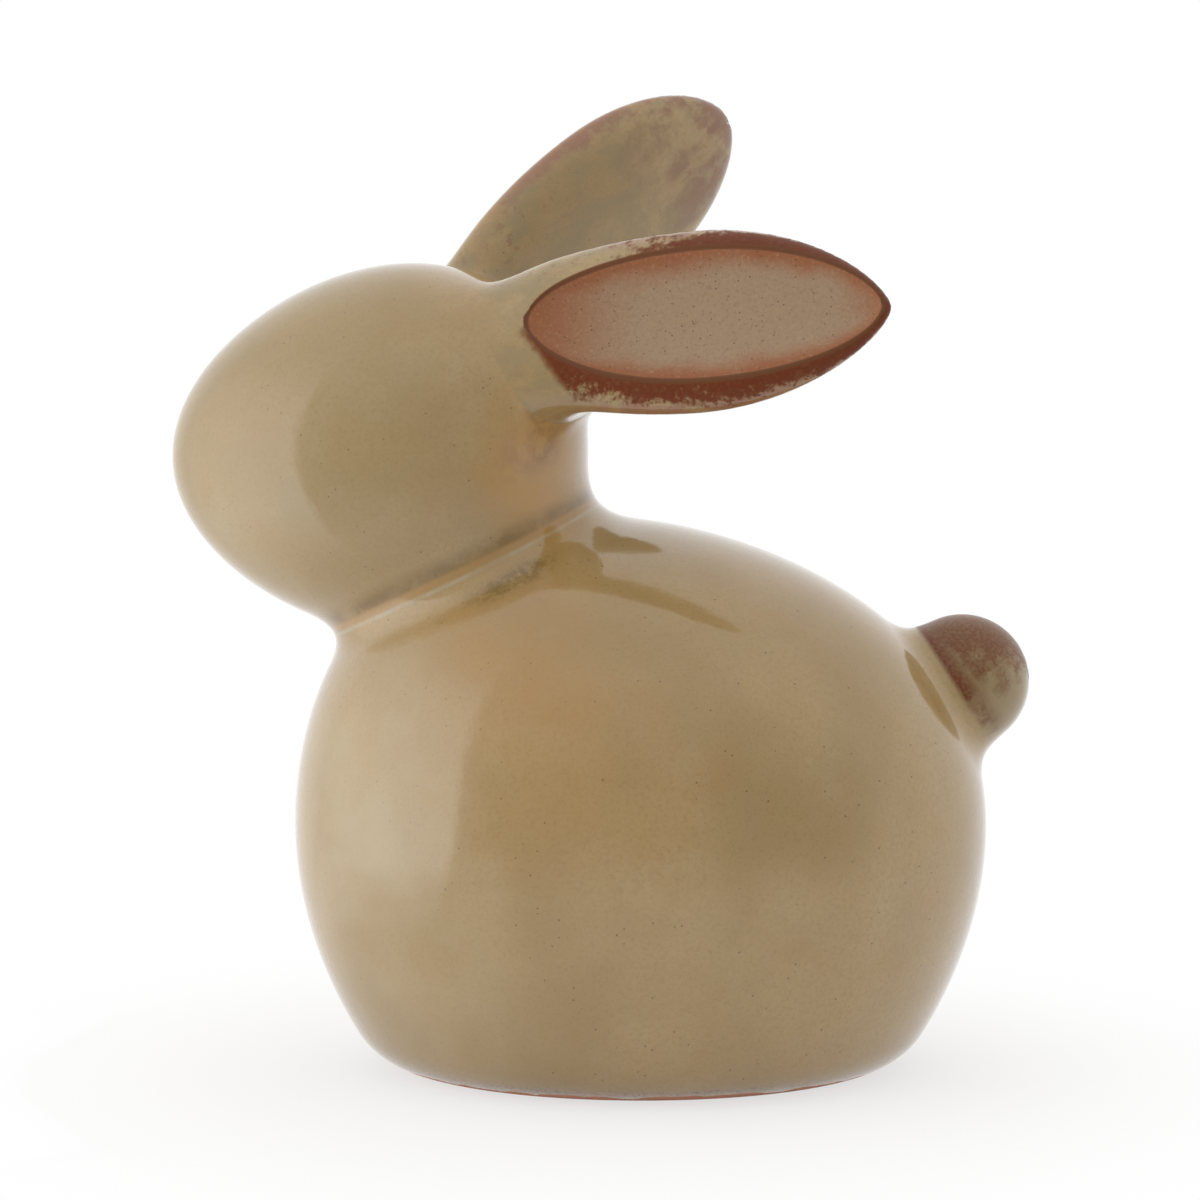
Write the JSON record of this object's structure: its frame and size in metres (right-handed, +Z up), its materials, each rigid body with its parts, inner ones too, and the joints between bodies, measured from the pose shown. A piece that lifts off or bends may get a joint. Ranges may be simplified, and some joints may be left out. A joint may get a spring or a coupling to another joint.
{
  "type": "ceramic rabbit figurine",
  "caption": "Glazed ceramic rabbit ornament with an egg-shaped body and head, leaf-shaped ears with matte insets, a ball tail and a flat bare-clay foot to stand on.",
  "frame": {"origin": "on the standing plane, under the middle of the overall length and width", "axes": "+Z up, -X the way the rabbit faces, -Y the rabbit's left side"},
  "size_m": [0.1282, 0.0836, 0.148],
  "materials": {
    "glaze": "glossy mottled tan glaze",
    "ear_glaze": "glossy tan glaze breaking to rust at the edges",
    "slip": "fired clay slip under clear glaze",
    "inset_clay": "matte speckled pink clay"
  },
  "bodies": {
    "root": {"body_casting": "glaze", "head_casting": "glaze", "left_ear": "ear_glaze", "right_ear": "ear_glaze", "tail": "ear_glaze", "neck_slip": "slip", "left_ear_slip": "slip", "right_ear_slip": "slip", "tail_slip": "slip", "left_ear_inset": "inset_clay", "right_ear_inset": "inset_clay"}
  },
  "joints": []
}
